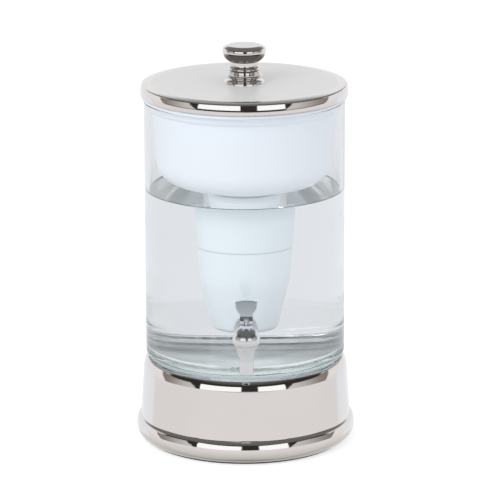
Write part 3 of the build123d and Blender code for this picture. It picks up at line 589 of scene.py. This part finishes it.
def packed_grains(name, dark, light, scale, roughness):
    """Grains packed against each other, each of a slightly different tone."""
    made, tree, shader = material(name)
    cells = node(tree, "TexVoronoi", {"Vector": places(tree), "Scale": scale})
    tone = parts(tree, cells.outputs["Color"])["X"]
    height = math_node(tree, "SUBTRACT", 1.0, cells.outputs["Distance"])
    connect(
        tree,
        shader,
        Base_Color=mixed(tree, tone, dark, light),
        Normal=bump(tree, height, GRAIN_BUMP, GRAIN_DEPTH),
    )
    fixed(shader, Roughness=roughness)
    return made


def carbon_granules(name):
    """Black granules of the carbon bed."""
    return packed_grains(name, CARBON_DARK, CARBON_LIGHT, CARBON_SCALE, CARBON_ROUGHNESS)


def resin_beads(name):
    """Amber beads of the resin bed."""
    return packed_grains(name, RESIN_DARK, RESIN_LIGHT, RESIN_SCALE, RESIN_ROUGHNESS)


def clear_silicone(name):
    """Cloudy, translucent silicone."""
    made, tree, shader = material(name)
    cloud = noise(tree, SILICONE_SCALE)
    connect(
        tree,
        shader,
        Base_Color=mixed(tree, cloud, SILICONE_PALE, SILICONE_CLOUD),
        Roughness=spread(tree, cloud, SILICONE_ROUGHNESS),
    )
    fixed(shader, IOR=SILICONE_IOR, Transmission_Weight=SILICONE_CLEARNESS)
    return made


def dark_rubber(name):
    """Matt black rubber with a fine pebble."""
    made, tree, shader = material(name)
    pebble = noise(tree, RUBBER_SCALE)
    connect(
        tree,
        shader,
        Base_Color=mixed(tree, pebble, RUBBER_DARK, RUBBER_LIGHT),
        Normal=bump(tree, pebble, RUBBER_BUMP, RUBBER_DEPTH),
    )
    fixed(shader, Roughness=RUBBER_ROUGHNESS)
    return made


def dress():
    """Gives every CAD node the finish of its slot."""
    makers = [
        polished_steel,
        plain_steel,
        tap_chrome,
        clear_glass,
        white_plastic,
        filter_plastic,
        filter_fleece,
        carbon_granules,
        resin_beads,
        clear_silicone,
        dark_rubber,
    ]
    finishes = {maker.__name__: maker(maker.__name__) for maker in makers}
    for part in frame["record"]["subparts"]:
        mesh = frame["nodes"][part["node"]].data
        mesh.materials.clear()
        mesh.materials.append(finishes[part["material_slot"]])


# Tap's soft cup

def seat_cup():
    """Silicone cup on the tap's stem: its own copy of the CAD mesh, carried by the stem."""
    solid = frame["nodes"]["spigot_seat_cup"]
    piece = added("seat_cup", solid.data.copy())
    piece.matrix_world = solid.matrix_world
    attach(piece, "stem")
    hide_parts("spigot_seat_cup")
    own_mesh(piece)


# Water

def ring(shape, radius, height):
    """Corners of one turn about Z; on the axis they are all the same one."""
    if radius == 0:
        return [shape.verts.new((0, 0, height))] * LATHE_STEPS
    turns = [2 * math.pi * step / LATHE_STEPS for step in range(LATHE_STEPS)]
    return [shape.verts.new((radius * math.cos(turn), radius * math.sin(turn), height)) for turn in turns]


def lathe(name, profile):
    """Closed mesh turned about Z from (radius, height) points that start and end on the axis."""
    shape = bmesh.new()
    rings = [ring(shape, radius, height) for radius, height in profile]
    for lower, upper in zip(rings, rings[1:]):
        for step in range(LATHE_STEPS):
            after = (step + 1) % LATHE_STEPS
            corners = dict.fromkeys([lower[step], lower[after], upper[after], upper[step]])
            shape.faces.new(corners).smooth = True
    bmesh.ops.recalc_face_normals(shape, faces=shape.faces)
    mesh = bpy.data.meshes.new(name)
    shape.to_mesh(mesh)
    shape.free()
    return added(name, mesh)


def water_profile():
    """Section of the water from its foot to its top, climbing the glass at the rim.

    Rings close to each corner keep the shading of the long faces true.
    """
    jar_low, jar_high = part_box("glass_jar")
    wall = jar_high.x - JAR_WALL + WATER_IN_GLASS
    bottom = jar_low.z + JAR_FLOOR - WATER_IN_GLASS
    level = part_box("reservoir")[0].z - WATER_GAP
    shares = [step / ROUND_STEPS for step in range(ROUND_STEPS + 1)]
    centre = (wall - JAR_BORE_ROUND, bottom + JAR_BORE_ROUND)
    turns = [math.pi / 2 * share for share in shares]
    corner = [
        (centre[0] + JAR_BORE_ROUND * math.sin(turn), centre[1] - JAR_BORE_ROUND * math.cos(turn))
        for turn in turns
    ]
    meniscus = [
        (wall - MENISCUS_WIDTH * share, level + MENISCUS_RISE * (1 - share) ** MENISCUS_POWER)
        for share in shares
    ]
    foot = [(0, bottom), (corner[0][0] - CORNER_HOLD, bottom)]
    side = [(wall, corner[-1][1] + CORNER_HOLD), (wall, meniscus[0][1] - CORNER_HOLD)]
    top = [(meniscus[-1][0] - CORNER_HOLD, level), (0, level)]
    return [*foot, *corner, *side, *meniscus, *top]


def water_fill():
    """Water in the jar, up to its line under the reservoir."""
    piece = lathe("water_fill", water_profile())
    piece.data.materials.append(clear_water("clear_water"))
    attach(piece, "jar")


# Light, floor and camera

def directions(tree):
    """Turn from -Y and height above the horizon, in degrees."""
    part = parts(tree, node(tree, "TexCoord").outputs["Generated"])
    ahead = math_node(tree, "MULTIPLY", part["Y"], -1.0)
    turn = math_node(tree, "DEGREES", math_node(tree, "ARCTAN2", part["X"], ahead))
    height = math_node(tree, "DEGREES", math_node(tree, "ARCSINE", part["Z"]))
    return turn, height


def soft_boxes(tree, turn, height):
    """Two large lamps in front, left and right of the middle."""
    boxes = [band(tree, turn, low, high, BOX_SOFT) for low, high in (LEFT_BOX, RIGHT_BOX)]
    level = band(tree, height, *BOX_HEIGHTS, BOX_SOFT)
    return math_node(tree, "MULTIPLY", math_node(tree, "MAXIMUM", *boxes), level)


def panels(tree, turn, height, room):
    """Taupe boards beside the lamps, paler towards the middle, laid over the room."""
    level = band(tree, height, *PANEL_HEIGHTS, PANEL_SOFT)
    lean = math_node(tree, "MULTIPLY", height, PANEL_SLANT)
    left = math_node(tree, "ADD", turn, lean)
    right = math_node(tree, "SUBTRACT", turn, lean)
    boards = [
        (LEFT_PANEL, left, PANEL_TAUPE, PANEL_PALE),
        (RIGHT_PANEL, right, PANEL_PALE, PANEL_TAUPE),
    ]
    for (low, high), leaning, first, last in boards:
        board = math_node(tree, "MULTIPLY", band(tree, leaning, low, high, PANEL_SOFT), level)
        tone = mixed(tree, mapped(tree, turn, low, high, 0.0, 1.0), first, last)
        room = mixed(tree, board, room, tone)
    return room


def studio_room(tree, turn, height):
    """What the metal reflects: white behind, unlit in front and above, a pale floor, boards and lamps."""
    front = band(tree, turn, -FRONT_EDGE, FRONT_EDGE, FRONT_EDGE_SOFT)
    room = mixed(tree, front, ramp(tree, height, BACK_STOPS), ramp(tree, height, FRONT_STOPS))
    beside = band(tree, turn, -BEHIND_EDGE, BEHIND_EDGE, FRONT_EDGE_SOFT)
    below = band(tree, height, *BEHIND_HEIGHTS, BEHIND_SOFT)
    behind = math_node(tree, "MULTIPLY", math_node(tree, "SUBTRACT", 1.0, beside), below)
    room = mixed(tree, behind, room, BEHIND_WHITE)
    room = panels(tree, turn, height, room)
    return mixed(tree, soft_boxes(tree, turn, height), room, BOX_WHITE)


def through_glass(tree, turn, height):
    """What the glass and the water show behind them."""
    ahead = band(tree, turn, -THROUGH_EDGE, THROUGH_EDGE, THROUGH_SOFT)
    level = band(tree, height, -THROUGH_HEIGHT, THROUGH_HEIGHT, THROUGH_SOFT)
    facing = math_node(tree, "MULTIPLY", ahead, level)
    return mixed(tree, facing, ramp(tree, height, THROUGH_STOPS), THROUGH_DARK)


def studio_world():
    """White to the camera, plain light on matt surfaces, and a studio in the reflections."""
    world = bpy.data.worlds.new("studio")
    bpy.context.scene.world = world
    tree = empty_tree(world)
    turn, height = directions(tree)
    path = node(tree, "LightPath").outputs
    matt = math_node(tree, "MINIMUM", path["Diffuse Depth"], 1.0)
    plain = (PLAIN_LIGHT, PLAIN_LIGHT, PLAIN_LIGHT, 1.0)
    room = studio_room(tree, turn, height)
    colour = mixed(tree, path["Is Transmission Ray"], room, through_glass(tree, turn, height))
    colour = mixed(tree, matt, colour, plain)
    colour = mixed(tree, path["Is Camera Ray"], colour, WHITE)
    glow = node(tree, "Background", {"Color": colour, "Strength": 1.0})
    node(tree, "OutputWorld", {"Surface": glow.outputs["Background"]})


def floor():
    """Plain pale floor, white to the camera, that keeps the object's shadow."""
    half = FLOOR_SIZE / 2
    corners = [(-half, -half), (half, -half), (half, half), (-half, half)]
    mesh = bpy.data.meshes.new("floor")
    mesh.from_pydata([(x, y, -FLOOR_DROP) for x, y in corners], [], [(0, 1, 2, 3)])
    made = bpy.data.materials.new("floor_white")
    tree = empty_tree(made)
    matt = node(tree, "BsdfDiffuse", {"Color": FLOOR_PALE})
    path = node(tree, "LightPath").outputs
    seen = math_node(tree, "MULTIPLY", path["Is Camera Ray"], FLOOR_GLOW)
    glow = node(tree, "Emission", {"Strength": seen})
    both = node(tree, "AddShader", {0: matt.outputs["BSDF"], 1: glow.outputs["Emission"]})
    node(tree, "OutputMaterial", {"Surface": both.outputs["Shader"]})
    mesh.materials.append(made)
    piece = added("floor", mesh)
    piece.visible_glossy = False


def lamp(name, place, target, power):
    """Soft square lamp that faces a point and stays out of the reflections."""
    light = bpy.data.lights.new(name, "AREA")
    light.size = LAMP_SIZE
    light.energy = power
    piece = added(name, light)
    piece.location = place
    piece.rotation_euler = (target - Vector(place)).to_track_quat("-Z", "Y").to_euler()
    piece.visible_glossy = False


def camera():
    """Camera at the photograph's viewing angle."""
    lens = bpy.data.cameras.new("camera")
    lens.lens = CAMERA_LENS
    lens.shift_x = CAMERA_SHIFT_X
    place = Matrix.Translation(CAMERA_PLACE)
    for angle, axis in ((CAMERA_TURN, "Z"), (CAMERA_TILT, "X"), (CAMERA_ROLL, "Z")):
        place = place @ Matrix.Rotation(math.radians(angle), 4, axis)
    piece = added("camera", lens)
    piece.matrix_world = place
    bpy.context.scene.camera = piece


def light_and_view():
    """Studio, floor, lamps and camera."""
    middle = (cad_low + cad_high) / 2
    studio_world()
    floor()
    lamp("key", KEY_PLACE, middle, KEY_POWER)
    lamp("fill", FILL_PLACE, middle, FILL_POWER)
    camera()
    bpy.context.scene.view_settings.view_transform = "Standard"
    paths = bpy.context.scene.cycles
    paths.max_bounces = GLASS_BOUNCES
    paths.transmission_bounces = GLASS_BOUNCES
    paths.glossy_bounces = GLASS_BOUNCES


dress()
seat_cup()
water_fill()
light_and_view()
